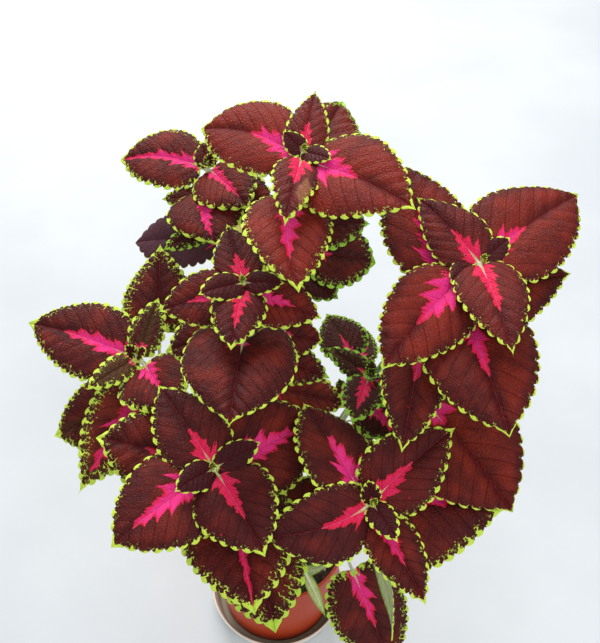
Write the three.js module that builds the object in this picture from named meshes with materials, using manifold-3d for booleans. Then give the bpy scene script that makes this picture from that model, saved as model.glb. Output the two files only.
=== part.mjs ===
// A coleus in a terracotta-coloured pot on a saucer.
// Millimetres, +Z up. The origin is the middle of the saucer's underside.
import * as THREE from 'three';
import { mergeVertices } from 'three/addons/utils/BufferGeometryUtils.js';
import Module from 'manifold-3d';

const wasm = await Module();
wasm.setup();

// ---------------------------------------------------------------- sizes
const GAP = 0.3;                  // clearance between pieces that only rest
const ROUND = 32;                 // facets round the pot and the saucer

const SAUCER = { floorRadius: 57, wallRadius: 60, rimRadius: 66.5, height: 22, thick: 2.2, floor: 3 };
const POT = { footRadius: 53.5, topRadius: 65, height: 115, thick: 2.6, floor: 3, recess: 2 };
const DRAIN = { count: 5, ring: 30, radius: 4.5 };
const SOIL = { top: 108, edgeDrop: 2, mound: 0.8 };
const STEM = { sides: 4, foot: 3.6, tip: 1.6, rootDepth: 38, rise: 0.5, steps: 5 };

const BLADE = { thick: 0.8, notch: 0.08, fold: 0.25, arch: 0.32, start: 0.5, end: 0.95 };
const STALK = { halfWidth: 1.4, thick: 2.4, sunk: 0.8 };   // sunk: where it starts, from the stem's axis
const BUD = { radius: 4.2, sides: 4 };            // the growing point, where the youngest leaves meet
const FACE = 25;                  // degrees by which side leaves roll towards the light at -Y
const DEFAULT_WIDTH = 0.41;       // half-width of a blade over its length

// Each leafy stem: name, where it leaves the soil [x, y], its tip [x, y, z],
// and its pairs of leaves from the tip down. A pair is the distance below the
// tip, then its leaves: [direction in degrees from +X, straight reach from
// the stem to the leaf's tip, slope of that line in degrees, droop from base
// to tip in degrees, half-width over length, stalk as a share of the length,
// extra roll in degrees, sideways bow as a share of the length].
const STEMS = [
  ["crown", [4, 10], [25, 108, 480], [
    [1, [141, 21, 28, 10], [-41, 27, 15, 15, 0.33]],
    [4, [-100, 71, -3, 30, 0.25], [80, 60, 17, 25, 0.27]],
    [8, [156, 82, 3, 30, 0.43, 0.1, 5, -0.09], [-38, 97, 4, 30, 0.4]],
    [30, [-90, 98, -2, 40, 0.35, 0.12, -7, -0.08], [68, 94, 12, 35, 0.38]],
    [60, [-5, 56, 12, 25]],
    [78, [-6, 62, -3, 30, 0.5]],
    [92, [-34, 42, -8, 28]],
    [190, [75, 56, -12, 28]]]],
  ["left_top", [-8, 14], [-52, 163, 425], [
    [1, [34, 12, 61, 5], [-112, 12, 36, 5]],
    [4, [-53, 58, -2, 25, 0.48], [104, 25, 26, 20]],
    [6, [169, 74, 0, 25, 0.42, 0.1, 6, -0.09]],
    [16, [-23, 58, -8, 25]],
    [20, [-83, 60, -6, 35, 0.58, 0.15, 0, -0.12], [-61, 54, -10, 20, 0.14, 0.25, 0, 0.03]],
    [30, [-171, 42, 10, 25, 0.3], [95, 56, -15, 30]],
    [44, [-57, 42, 0, 25]],
    [50, [-150, 50, -4, 25, 0.25]],
    [66, [167, 79, -10, 30, 0.33, 0.08]],
    [170, [175, 56, -10, 28]]]],
  ["middle", [-4, 4], [-17, 30, 425], [
    [1, [-145, 38, 16, 20, 0.3], [-18, 32, 18, 15, 0.3]],
    [4, [105, 59, 9, 25, 0.33], [-97, 57, -2, 30, 0.35]],
    [11, [-167, 62, -2, 30, 0.38], [-17, 57, -7, 30, 0.38]],
    [34, [-95, 101, 5, 40, 0.42], [85, 56, -10, 30]],
    [48, [0, 54, -8, 28], [-169, 64, -5, 30, 0.45]],
    [70, [-22, 61, 2, 30, 0.32]],
    [104, [-18, 72, 4, 30, 0.34]],
    [160, [155, 52, -10, 28]]]],
  ["right", [20, 6], [150, 36, 440], [
    [3, [126, 70, 11, 25, 0.32], [-82, 82, -2, 30, 0.3]],
    [8, [36, 34, 5, 10], [-137, 27, 10, 15]],
    [13, [-131, 101, -8, 35, 0.32], [37, 109, 9, 30, 0.38, 0.1, -8]],
    [34, [-76, 118, -8, 35, 0.38], [111, 113, 22, 30, 0.32]],
    [60, [9, 108, 15, 30, 0.37], [-103, 110, -10, 35, 0.25]],
    [116, [-54, 145, -8, 35, 0.46, 0.35]],
    [190, [15, 56, -12, 28], [-75, 72, -15, 28]]]],
  ["left", [-20, 2], [-104, 30, 345], [
    [1, [165, 13, 50, 10], [-15, 14, 46, 10]],
    [4, [74, 51, 24, 20, 0.29], [-138, 47, 2, 25, 0.25]],
    [8, [162, 97, 7, 30, 0.36, 0.1, 6], [-60, 58, 2, 30, 0.56]],
    [30, [92, 112, 30, 25, 0.4, 0.35], [-126, 106, -21, 35, 0.34]],
    [50, [-168, 103, -14, 30, 0.38, 0.3]],
    [125, [110, 56, -12, 28], [-100, 56, -12, 28]]]],
  ["front_left", [-10, -14], [-38, -70, 340], [
    [1, [25, 38, 18, 15, 0.31, 0.06, -12], [-138, 34, 12, 30, 0.34]],
    [4, [126, 78, 13, 25, 0.36, 0.06, 10], [-61, 76, 0, 30]],
    [12, [30, 88, 0, 30, 0.45], [-140, 90, -2, 35, 0.43, 0.1, 8]],
    [34, [-77, 105, -5, 35, 0.44]],
    [50, [171, 106, 18, 30, 0.4]],
    [76, [-75, 114, -10, 35, 0.4]],
    [130, [-160, 56, -15, 28]]]],
  ["front_right", [12, -16], [73, -95, 335], [
    [1, [107, 18, 17, 10], [-68, 38, 15, 20, 0.26]],
    [4, [-162, 80, 0, 25, 0.34, 0.06, 0, 0.12], [37, 80, 19, 30, 0.36]],
    [11, [120, 88, 11, 30, 0.41, 0.1, 35], [-61, 79, -11, 30, 0.27, 0.12, -8]],
    [34, [-5, 110, 4, 30, 0.5], [-170, 70, -20, 30]],
    [62, [-68, 105, -15, 25, 0.24, 0.3, -98, 0.1]],
    [90, [-58, 148, -45, 20, 0.34, 0.38]],
    [125, [0, 56, -12, 28]]]],
  ["inner", [24, -6], [77, 12, 345], [
    [1, [88, 11, 39, 5], [-98, 12, 36, 5]],
    [4, [144, 40, 10, 20, 0.27], [-108, 48, 5, 25, 0.34]],
    [10, [-40, 35, 5, 25, 0.42], [116, 68, 10, 25, 0.43, 0.35]],
    [26, [-50, 52, -5, 30], [84, 72, 0, 28, 0.32, 0.4]],
    [45, [105, 28, 25, 25, 0.3]]]],
  ["low_front", [1, -28], [7, -44, 235], [
    [1, [2, 11, 37, 5], [179, 11, 36, 5]],
    [4, [100, 37, 4, 20], [-80, 39, -1, 20]],
    [11, [-146, 46, -1, 25], [-52, 45, -6, 25]],
    [20, [-66, 91, 0, 20, 0.12, 0.6, 180]],
    [32, [-92, 70, -8, 25, 0.32]],
    [90, [-16, 50, 0, 30, 0.18, 0.45, 180, -0.3]]]],
  ["back", [6, 22], [23, 190, 335], [
    [1, [96, 15, 51, 5], [-86, 16, 47, 5]],
    [5, [4, 40, 7, 20], [175, 44, 7, 20]],
    [14, [80, 68, 7, 30], [-100, 66, 1, 25]],
    [36, [140, 80, -5, 30], [40, 80, -5, 30]]]],
  ["back_low", [-15, 24], [-35, 140, 265], [
    [1, [46, 13, 50, 5], [-126, 14, 47, 5]],
    [5, [144, 42, 7, 20], [-43, 45, 1, 20]],
    [14, [56, 57, 1, 30], [-116, 55, -5, 30]],
    [40, [120, 80, -5, 30], [0, 70, -5, 30]]]],
];

// ---------------------------------------------------------------- helpers
const radians = THREE.MathUtils.degToRad;

/** A closed Manifold solid from a geometry, its faces turned outwards. */
function solid(geometry) {
  geometry.deleteAttribute('normal');
  geometry.deleteAttribute('uv');
  const merged = mergeVertices(geometry, 1e-4);
  const at = merged.attributes.position;
  const corner = (i) => new THREE.Vector3().fromBufferAttribute(at, i);
  let faces = [];
  let volume = 0;
  for (let i = 0; i < merged.index.count; i += 3) {
    const [a, b, c] = [0, 1, 2].map((k) => merged.index.getX(i + k));
    if (a === b || b === c || c === a) continue;
    faces.push([a, b, c]);
    volume += corner(a).dot(corner(b).cross(corner(c)));
  }
  if (volume < 0) faces = faces.map(([a, b, c]) => [a, c, b]);
  return new wasm.Manifold(new wasm.Mesh({
    numProp: 3, vertProperties: new Float32Array(at.array), triVerts: new Uint32Array(faces.flat()),
  }));
}

/** A named mesh from a Manifold solid. */
function mesh(name, body, material) {
  const { vertProperties, triVerts } = body.getMesh();
  const geometry = new THREE.BufferGeometry();
  geometry.setAttribute('position', new THREE.BufferAttribute(new Float32Array(vertProperties), 3));
  geometry.setIndex(new THREE.BufferAttribute(new Uint32Array(triVerts), 1));
  geometry.computeVertexNormals();
  const piece = new THREE.Mesh(geometry, material);
  piece.name = name;
  return piece;
}

/** A solid of revolution about +Z from [radius, height] points. */
function turned(profile) {
  const points = profile.map(([r, z]) => new THREE.Vector2(r, z));
  return solid(new THREE.LatheGeometry(points, ROUND).rotateX(Math.PI / 2));
}

/** Points of a round lip over a wall between two radii, from outside to inside. */
function lip(outer, inner, z) {
  const middle = (outer + inner) / 2;
  const radius = (outer - inner) / 2;
  return [30, 90, 150].map((angle) => [
    middle + radius * Math.cos(radians(angle)), z + radius * Math.sin(radians(angle))]);
}

/** A closed geometry from points and triangles that index them. */
function shell(points, faces) {
  const geometry = new THREE.BufferGeometry().setFromPoints(points);
  geometry.setIndex(faces.flat());
  return geometry;
}

// ---------------------------------------------------------------- holder
const potFoot = SAUCER.floor + GAP;
const potTop = potFoot + POT.height;
const potRadius = (z) => THREE.MathUtils.lerp(
  POT.footRadius, POT.topRadius, (z - potFoot) / POT.height);

function saucer() {
  const { floorRadius, wallRadius, rimRadius, height, thick, floor } = SAUCER;
  return turned([
    [0, 0], [floorRadius, 0], [wallRadius + 1, 2],
    [rimRadius, height - thick / 2], ...lip(rimRadius, rimRadius - thick, height - thick / 2),
    [rimRadius - thick, height - thick / 2], [wallRadius, floor + 1.5], [wallRadius - 1.5, floor],
    [0, floor],
  ]);
}

function pot() {
  const { topRadius, thick, floor, recess, footRadius } = POT;
  const floorTop = potFoot + recess + floor;
  const rim = potTop - thick / 2;
  const cup = turned([
    [0, potFoot + recess], [footRadius - 6, potFoot + recess], [footRadius - 5, potFoot],
    [footRadius - 0.8, potFoot], [footRadius, potFoot + 1.2],
    [topRadius, rim], ...lip(topRadius, topRadius - thick, rim), [topRadius - thick, rim],
    [potRadius(floorTop) - thick, floorTop], [0, floorTop],
  ]);
  let body = cup;
  for (let i = 0; i < DRAIN.count; i += 1) {
    const angle = (2 * Math.PI * i) / DRAIN.count;
    const hole = new THREE.CylinderGeometry(DRAIN.radius, DRAIN.radius, 12, 10)
      .rotateX(Math.PI / 2)
      .translate(DRAIN.ring * Math.cos(angle), DRAIN.ring * Math.sin(angle), potFoot + 3);
    body = body.subtract(solid(hole));
  }
  return body;
}

/** The soil fills the pot, with a plain hole where each stem stands. */
function soil() {
  const bottom = potFoot + POT.recess + POT.floor + GAP;
  const wall = (z) => potRadius(z) - POT.thick - GAP;
  const edge = SOIL.top - SOIL.edgeDrop;
  let body = turned([
    [0, bottom], [wall(bottom), bottom], [wall(edge), edge],
    [wall(edge) * 0.72, SOIL.top], [0, SOIL.top + SOIL.mound],
  ]);
  for (const [, [x, y]] of STEMS) {
    const depth = STEM.rootDepth + GAP;
    const hole = new THREE.CylinderGeometry(STEM.foot + GAP * 1.2, STEM.foot + GAP * 1.2,
      depth + 10, STEM.sides);
    hole.rotateX(Math.PI / 2).rotateZ(Math.PI / 2).translate(x, y, SOIL.top + 5 - depth / 2);
    body = body.subtract(solid(hole));
  }
  return body;
}

// ---------------------------------------------------------------- stems
/** A stem's centre line above the soil: straight up at first, then leaning out. */
function stemCurve([x, y], tip) {
  const foot = new THREE.Vector3(x, y, SOIL.top);
  const over = new THREE.Vector3(x, y, THREE.MathUtils.lerp(SOIL.top, tip[2], STEM.rise));
  return new THREE.QuadraticBezierCurve3(foot, over, new THREE.Vector3(...tip));
}

/** A tapering stem with its straight root end in the soil. */
function stemBody(curve) {
  const points = [new THREE.Vector3(curve.v0.x, curve.v0.y, SOIL.top - STEM.rootDepth)];
  for (let i = 0; i <= STEM.steps; i += 1) points.push(curve.getPointAt(i / STEM.steps));
  const rings = [];
  const faces = [];
  const { sides } = STEM;
  points.forEach((centre, i) => {
    const along = i === 0 ? new THREE.Vector3(0, 0, 1) : curve.getTangentAt((i - 1) / STEM.steps);
    const turn = new THREE.Quaternion().setFromUnitVectors(new THREE.Vector3(0, 0, 1), along);
    const radius = THREE.MathUtils.lerp(STEM.foot, STEM.tip, Math.max(i - 1, 0) / STEM.steps);
    for (let k = 0; k < sides; k += 1) {
      const angle = (2 * Math.PI * k) / sides;
      rings.push(new THREE.Vector3(radius * Math.cos(angle), radius * Math.sin(angle), 0)
        .applyQuaternion(turn).add(centre));
      if (i > 0) {
        const [a, b] = [(i - 1) * sides + k, (i - 1) * sides + ((k + 1) % sides)];
        faces.push([a, b, b + sides], [a, b + sides, a + sides]);
      }
    }
  });
  const last = rings.length - sides;
  for (let k = 1; k < sides - 1; k += 1) {
    faces.push([0, k + 1, k], [last, last + k, last + k + 1]);
  }
  return solid(shell(rings, faces));
}

// ---------------------------------------------------------------- leaves
/** Half-width of a blade at share u of its length, 1 at the widest. */
function outline(u) {
  const { start, end } = BLADE;
  const widest = start / (start + end);
  return (u ** start * (1 - u) ** end) / (widest ** start * (1 - widest) ** end);
}

/** How finely a leaf is cut: teeth on a side, steps of the midrib, inner column or not. */
function fineness(reach) {
  if (reach > 120) return { teeth: 6, steps: 4, inner: true };
  if (reach > 76) return { teeth: 5, steps: 4, inner: true };
  if (reach > 56) return { teeth: 5, steps: 3, inner: false };
  if (reach > 28) return { teeth: 4, steps: 2, inner: false };
  return { teeth: 3, steps: 2, inner: false };
}

/**
 * The surface of one leaf. Its midrib is an arc in an upright plane through
 * the stem, from the node to the tip; the blade folds up from the midrib and
 * its margins arch down again. place(q, width, side) gives a point on it.
 */
function leafSurface(node, order, row) {
  const [azimuth, reach, slope, droop, wide = DEFAULT_WIDTH,
    stalk = Math.min(0.03 + 0.03 * order, 0.2), roll = 0, bow = 0] = row;
  const heading = radians(azimuth);
  const bend = radians(droop);
  const first = radians(slope) + bend / 2;
  const length = (reach * (bend / 2)) / Math.sin(bend / 2);
  const ahead = new THREE.Vector3(Math.cos(heading), Math.sin(heading), 0);
  const across = new THREE.Vector3(-Math.sin(heading), Math.cos(heading), 0);
  const up = new THREE.Vector3(0, 0, 1);
  const turn = radians(roll + FACE * Math.cos(heading));
  const halfWidth = wide * length * (1 - stalk);

  function place(q, width, lift) {
    const pitch = first - bend * q;
    const x = ((Math.sin(first) - Math.sin(pitch)) / bend) * length;
    const z = ((Math.cos(pitch) - Math.cos(first)) / bend) * length;
    const normal = ahead.clone().multiplyScalar(-Math.sin(pitch)).addScaledVector(up, Math.cos(pitch));
    const side = across.clone().multiplyScalar(Math.cos(turn)).addScaledVector(normal, Math.sin(turn));
    const face = normal.clone().multiplyScalar(Math.cos(turn))
      .addScaledVector(across, -Math.sin(turn));
    return node.clone().addScaledVector(ahead, x).addScaledVector(up, z)
      .addScaledVector(across, bow * length * 4 * q * (1 - q))
      .addScaledVector(side, width).addScaledVector(face, lift);
  }
  /** A point of the blade at share u of its length and v of its half-width. */
  function onBlade(u, v, lift) {
    const half = u >= 1 ? 0 : halfWidth * outline(u);
    const height = half * (BLADE.fold * Math.abs(v) - BLADE.arch * v * v);
    return place(stalk + (1 - stalk) * u, v * half, height + lift);
  }
  return { place, onBlade, stalk, reach };
}

/**
 * One leaf as a closed solid: a four-sided stalk that widens into a scalloped blade.
 * Both faces are split into the same triangles, a blade's thickness apart.
 */
function leafBody(node, order, row) {
  const surface = leafSurface(node, order, row);
  const { teeth, steps, inner } = fineness(surface.reach);
  const [above, below] = [[], []];
  function put(at, thick) {
    above.push(at(thick / 2));
    below.push(at(-thick / 2));
    return above.length - 1;
  }
  const stalkPoint = (q, width) => put(
    (lift) => surface.place(q, width, lift), width === 0 ? STALK.thick : 0);
  const bladePoint = (u, v) => put((lift) => surface.onBlade(u, v, lift), BLADE.thick);

  const root = STALK.sunk / surface.reach;
  const middle = [stalkPoint(root, 0), stalkPoint(surface.stalk, 0)];
  for (let i = 1; i <= steps; i += 1) middle.push(bladePoint(i / steps, 0));
  const tip = middle.at(-1);
  const faces = [];
  const margin = {};
  for (const side of [1, -1]) {
    const edge = [stalkPoint(root, side * STALK.halfWidth),
      stalkPoint(surface.stalk, side * STALK.halfWidth)];
    for (let i = 1; i < 2 * teeth; i += 1) {
      edge.push(bladePoint(i / (2 * teeth), side * (i % 2 ? 1 : 1 - BLADE.notch)));
    }
    edge.push(tip);
    margin[side] = edge;
    const strips = [[edge.slice(0, 2), middle.slice(0, 2)]];
    if (inner) {
      const half = [middle[1]];
      for (let i = 1; i < steps; i += 1) half.push(bladePoint(i / steps, side * 0.5));
      half.push(tip);
      strips.push([edge.slice(1), half], [half, middle.slice(1)]);
    } else {
      strips.push([edge.slice(1), middle.slice(1)]);
    }
    for (const [outside, inside] of strips) {
      for (const [a, b, c] of zip(outside, inside)) faces.push(side > 0 ? [a, c, b] : [a, b, c]);
    }
  }
  const count = above.length;
  const loop = [...margin[1], ...margin[-1].slice(0, -1).reverse(), middle[0]];
  const wall = loop.flatMap((a, i) => {
    const b = loop[(i + 1) % loop.length];
    return [[a, b, a + count], [b, b + count, a + count]];
  });
  const back = faces.map(([a, b, c]) => [a + count, c + count, b + count]);
  return solid(shell([...above, ...below], [...faces, ...back, ...wall]));
}

/** Triangles between two lines of vertices that run the same way. */
function zip(outside, inside) {
  const faces = [];
  let [i, k] = [0, 0];
  while (i < outside.length - 1 || k < inside.length - 1) {
    const ahead = (i + 1) / (outside.length - 1) <= (k + 1) / (inside.length - 1);
    if (k === inside.length - 1 || (ahead && i < outside.length - 1)) {
      faces.push([outside[i], outside[i + 1], inside[k]]);
      i += 1;
    } else {
      faces.push([outside[i], inside[k + 1], inside[k]]);
      k += 1;
    }
  }
  return faces.filter(([a, b, c]) => a !== b && b !== c && c !== a);
}

/** A stem and all its leaves in one solid. */
function leafyStem([, foot, tip, pairs]) {
  const curve = stemCurve(foot, tip);
  const length = curve.getLength();
  const bud = wasm.Manifold.sphere(BUD.radius, BUD.sides).translate(tip);
  let body = stemBody(curve).add(bud);
  pairs.forEach(([below, ...leaves], order) => {
    const node = curve.getPointAt(1 - below / length);
    for (const row of leaves) body = body.add(leafBody(node, order, row));
  });
  return body;
}

// ---------------------------------------------------------------- the part
const finish = (color, roughness) => new THREE.MeshStandardMaterial({ color, roughness, metalness: 0 });
const CREAM = finish(0xe4ddcf, 0.4);
const TERRACOTTA = finish(0xa9502f, 0.45);
const EARTH = finish(0x2c221b, 0.95);
const FOLIAGE = finish(0x5e1c20, 0.5);

const coleus = new THREE.Group();
coleus.add(mesh('saucer', saucer(), CREAM));
coleus.add(mesh('pot', pot(), TERRACOTTA));
coleus.add(mesh('soil', soil(), EARTH));
for (const stem of STEMS) coleus.add(mesh(`stem_${stem[0]}`, leafyStem(stem), FOLIAGE));

export default coleus;
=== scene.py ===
# %% [markdown]
# # A potted coleus
# The model is a bushy coleus in a terracotta-coloured nursery pot, on a cream saucer. Its CAD parts
# are loaded first as a fixed frame: everything below is in metres, in the same places. The CAD
# leaves are plain little solids. Here each of them gets a real margin, veins and colours.

# %% Load the frame
import math
import bpy
import numpy as np
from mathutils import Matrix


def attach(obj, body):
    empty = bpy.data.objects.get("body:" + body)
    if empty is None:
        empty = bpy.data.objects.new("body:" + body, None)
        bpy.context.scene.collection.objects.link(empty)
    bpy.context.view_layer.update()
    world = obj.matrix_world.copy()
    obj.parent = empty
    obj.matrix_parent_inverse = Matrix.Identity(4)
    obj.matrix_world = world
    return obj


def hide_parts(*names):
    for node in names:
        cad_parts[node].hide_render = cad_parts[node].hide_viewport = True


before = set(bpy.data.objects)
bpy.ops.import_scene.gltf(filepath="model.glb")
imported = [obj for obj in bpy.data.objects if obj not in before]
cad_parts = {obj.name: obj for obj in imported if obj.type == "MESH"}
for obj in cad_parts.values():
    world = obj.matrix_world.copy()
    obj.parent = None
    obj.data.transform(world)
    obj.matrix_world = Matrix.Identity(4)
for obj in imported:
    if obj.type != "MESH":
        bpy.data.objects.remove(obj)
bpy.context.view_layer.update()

MM = 0.001


# %% [markdown]
# ## The camera
# One looks down on such a plant, as on a table. The camera stands in front of it and above it and
# looks down 48 degrees. A focal length is the sensor's long side times the distance that one radian
# takes in the picture, over the picture's long side.

# %% Camera
PICTURE = (600, 643)                          # width and height in pixels
FOCAL_PIXELS = 900                            # how many pixels one radian takes
SENSOR = 36                                   # the sensor's long side in mm
CAMERA_PLACE = (0.0227, -0.415, 0.878)
LOOKS_DOWN = 48

lens = bpy.data.cameras.new("camera")
lens.sensor_fit = "AUTO"
lens.sensor_width = SENSOR
lens.lens = FOCAL_PIXELS / max(PICTURE) * SENSOR
lens.clip_start, lens.clip_end = 0.05, 40
camera = bpy.data.objects.new("camera", lens)
camera.location = CAMERA_PLACE
camera.rotation_euler = (math.radians(90 - LOOKS_DOWN), 0, 0)
bpy.context.collection.objects.link(camera)
bpy.context.scene.camera = camera
bpy.context.scene.view_settings.view_transform = "Standard"
print("lens in mm:", round(lens.lens, 2))


# %% [markdown]
# ## Facts
# The colours of a leaf follow its shape: a splash along the midrib, lime green on every scallop. So
# each point of a leaf carries facts, such as its share of the way along the blade and its distance
# from the margin. A mesh stores them as vectors of three, and a material reads them by name.

# %% The names of the facts
FACTS = {
    "place": ("along", "across", "edge"),
    "margin": ("tooth", "lime", "tip"),
    "leaf": ("length", "seed", "splash"),
    "growth": ("youth", "shade", "sun"),
    "mood": ("tan", "flame", "olive"),
}
FACT_PLACES = {fact: (vector, i) for vector, facts in FACTS.items() for i, fact in enumerate(facts)}
print(len(FACT_PLACES), "facts in", len(FACTS), "vectors")


# %% [markdown]
# ## Writing shader maths as Python
# A pattern such as a leaf's margin is a formula, and a formula is easier to read than a web of
# nodes. So a small class wraps an output socket, and adding, multiplying or comparing two of them
# adds the Math node that does it. Colours go through Mix nodes, because a Math node turns them
# grey.

# %% A socket that does maths
class Value:
    """A node's output socket. An expression on values adds its Math nodes."""

    def __init__(self, paint, socket):
        self.paint, self.socket = paint, socket

    def maths(self, operation, *values):
        """Add one Math node on these values, in this order, and give its result."""
        return self.paint.node("ShaderNodeMath", {"operation": operation}, dict(enumerate(values)))

    def __add__(self, other):
        return self.maths("ADD", self, other)

    def __radd__(self, other):
        return self.maths("ADD", other, self)

    def __sub__(self, other):
        return self.maths("SUBTRACT", self, other)

    def __rsub__(self, other):
        return self.maths("SUBTRACT", other, self)

    def __mul__(self, other):
        return self.maths("MULTIPLY", self, other)

    def __rmul__(self, other):
        return self.maths("MULTIPLY", other, self)

    def __truediv__(self, other):
        return self.maths("DIVIDE", self, other)

    def __rtruediv__(self, other):
        return self.maths("DIVIDE", other, self)

    def __pow__(self, other):
        return self.maths("POWER", self, other)

    def __abs__(self):
        return self.maths("ABSOLUTE", self)

    def cos(self):
        return self.maths("COSINE", self)

    def floor(self):
        return self.maths("FLOOR", self)

    def fraction(self):
        return self.maths("FRACT", self)

    def least(self, other):
        return self.maths("MINIMUM", self, other)

    def most(self, other):
        return self.maths("MAXIMUM", self, other)

    def rise(self, low, high):
        """A smooth step: 0 up to low, 1 from high on."""
        return self.paint.node("ShaderNodeMapRange", {"interpolation_type": "SMOOTHSTEP"},
                               {"Value": self, "From Min": low, "From Max": high})


able = [name.strip("_") for name, what in vars(Value).items() if callable(what)]
print("what a value can do:", *able[1:])


# %% A material under construction
class Paint:
    """One material, and the nodes it is made of."""

    def __init__(self, name):
        self.material = bpy.data.materials.new(name)
        self.material.use_nodes = True
        self.tree = self.material.node_tree
        self.tree.nodes.clear()
        self.known = {}

    def node(self, kind, settings=None, inputs=None, output=0):
        """Add any node: its settings first, then the value or link of each socket."""
        node = self.tree.nodes.new(kind)
        for name, value in (settings or {}).items():
            setattr(node, name, value)
        for name, value in (inputs or {}).items():
            if isinstance(value, Value):
                self.tree.links.new(value.socket, node.inputs[name])
            else:
                node.inputs[name].default_value = value
        return Value(self, node.outputs[output]) if node.outputs else None

    def part(self, vector, i):
        """One of the three numbers of a vector."""
        return self.node("ShaderNodeSeparateXYZ", None, {0: vector}, output=i)

    def fact(self, name):
        """A number that each point of the mesh carries, by its name in FACTS."""
        if name not in self.known:
            vector, i = FACT_PLACES[name]
            carried = self.node("ShaderNodeAttribute", {"attribute_name": vector}, output="Vector")
            self.known[name] = self.part(carried, i)
        return self.known[name]

    def place(self):
        """The point's own place on the object, in metres."""
        return self.node("ShaderNodeTexCoord", output="Object")

    def vector(self, x, y, z=0.0):
        """Three numbers as one vector, such as a place to look up in a noise."""
        return self.node("ShaderNodeCombineXYZ", None, {0: x, 1: y, 2: z})

    def noise(self, where, scale, detail=2.0, rough=0.5, lean=0.0):
        """Soft random clouds from 0 to 1, about one to each unit of the place times the scale."""
        return self.node("ShaderNodeTexNoise", None,
                         {"Vector": where, "Scale": scale, "Detail": detail,
                          "Roughness": rough, "Distortion": lean})

    def cells(self, where, scale, feature="F1", output="Distance"):
        """Cells round scattered points: the distance from the point or edge, or a cell's colour."""
        return self.node("ShaderNodeTexVoronoi", {"feature": feature},
                         {"Vector": where, "Scale": scale}, output=output)

    def mix(self, share, first, second):
        """first where share is 0, second where it is 1. Both are colours.

        On a Mix node for colours, these are inputs 0, 6 and 7, and the result is output 2."""
        return self.node("ShaderNodeMix", {"data_type": "RGBA"},
                         {0: share, 6: first, 7: second}, output=2)

    def bump(self, height, distance, strength):
        """A bent normal from a height, whose full rise is the distance in metres."""
        return self.node("ShaderNodeBump", None,
                         {"Height": height, "Distance": distance, "Strength": strength})

    def surface(self, **sockets):
        """Finish with a Principled surface. Names such as Base_Color are its sockets."""
        shader = self.node("ShaderNodeBsdfPrincipled", None,
                           {name.replace("_", " "): value for name, value in sockets.items()})
        self.node("ShaderNodeOutputMaterial", None, {"Surface": shader})
        print(f"{self.material.name}: {len(self.tree.nodes)} nodes")
        return self.material


# %% Colours
def colour(red, green, blue):
    """A colour given as on a screen, 0 to 255, in the linear light that shaders use."""
    return tuple(c / 12.92 if c <= 0.04045 else ((c + 0.055) / 1.055) ** 2.4
                 for c in (red / 255, green / 255, blue / 255)) + (1.0,)


print("maroon in linear light:", [round(c, 4) for c in colour(96, 28, 30)])


# %% [markdown]
# ## Meshes from arrays
# Every new piece is a surface worked out with numpy. A grid of points becomes a sheet of four-sided
# faces, and several sheets are collected into one mesh with their materials and facts. Working on
# whole arrays keeps the script fast, though there are more than a hundred leaves.

# %% Collecting sheets into one mesh
class Collected:
    """Sheets of points gathered into one mesh."""

    def __init__(self):
        self.points, self.faces, self.materials, self.count = [], [], [], 0
        self.vectors = {name: [] for name in FACTS}

    def add(self, points, faces, material, facts=None):
        """points is (n, 3), faces (m, 4), material and each fact one number or an array of them."""
        self.points.append(points)
        self.faces.append(faces + self.count)
        self.materials.append(np.broadcast_to(material, len(faces)))
        for name, parts in FACTS.items():
            rows = [np.broadcast_to((facts or {}).get(part, 0.0), len(points)) for part in parts]
            self.vectors[name].append(np.stack(rows, -1))
        self.count += len(points)

    def finish(self, name, materials, node, sharp=None):
        """Make the object at the origin, let it ride on the frame and stand for its CAD node."""
        mesh = bpy.data.meshes.new(name)
        points = np.concatenate(self.points)
        faces = np.concatenate(self.faces)
        mesh.vertices.add(len(points))
        mesh.vertices.foreach_set("co", points.astype(np.float32).ravel())
        mesh.loops.add(faces.size)
        mesh.loops.foreach_set("vertex_index", faces.astype(np.int32).ravel())
        mesh.polygons.add(len(faces))
        mesh.polygons.foreach_set("loop_start", np.arange(0, faces.size, 4, dtype=np.int32))
        mesh.polygons.foreach_set("material_index", np.concatenate(self.materials).astype(np.int32))
        mesh.polygons.foreach_set("use_smooth", np.ones(len(faces), dtype=bool))
        mesh.update(calc_edges=True)
        for vector, rows in self.vectors.items():
            values = np.concatenate(rows)
            if values.any():
                layer = mesh.attributes.new(vector, "FLOAT_VECTOR", "POINT")
                layer.data.foreach_set("vector", values.astype(np.float32).ravel())
        if sharp is not None:
            mesh.set_sharp_from_angle(angle=math.radians(sharp))
        for material in materials:
            mesh.materials.append(material)
        piece = bpy.data.objects.new(name, mesh)
        bpy.context.collection.objects.link(piece)
        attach(piece, "root")
        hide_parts(node)
        print(f"{name}: {2 * len(faces)} triangles")
        return piece


# %% The faces of a grid of points
def sheet_faces(rows, columns, around=False, flip=False):
    """The faces of a grid of points. around joins the last column to the first.

    A flipped sheet keeps the first corner, so that it splits along the same diagonals."""
    row = np.arange(rows - 1)[:, None]
    column = np.arange(columns if around else columns - 1)[None, :]
    after = (column + 1) % columns
    corners = [row * columns + column, row * columns + after,
               (row + 1) * columns + after, (row + 1) * columns + column]
    faces = np.stack(np.broadcast_arrays(*corners), -1).reshape(-1, 4)
    return faces[:, [0, 3, 2, 1]] if flip else faces


def closed_middles(rows, columns):
    """The small ring at each end of a grid that runs around, closed by four-sided faces."""
    fan = np.arange(1, columns - 2, 2)
    middle = np.stack([0 * fan, fan, fan + 1, fan + 2], -1)
    return np.concatenate([middle[:, ::-1], middle + (rows - 1) * columns])


def closed_faces(rows, columns):
    """The faces of a grid that runs around, with both its ends closed."""
    return np.concatenate([sheet_faces(rows, columns, around=True), closed_middles(rows, columns)])


print("a ball of 5 rings of 6 points has", len(closed_faces(5, 6)), "faces")


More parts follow.
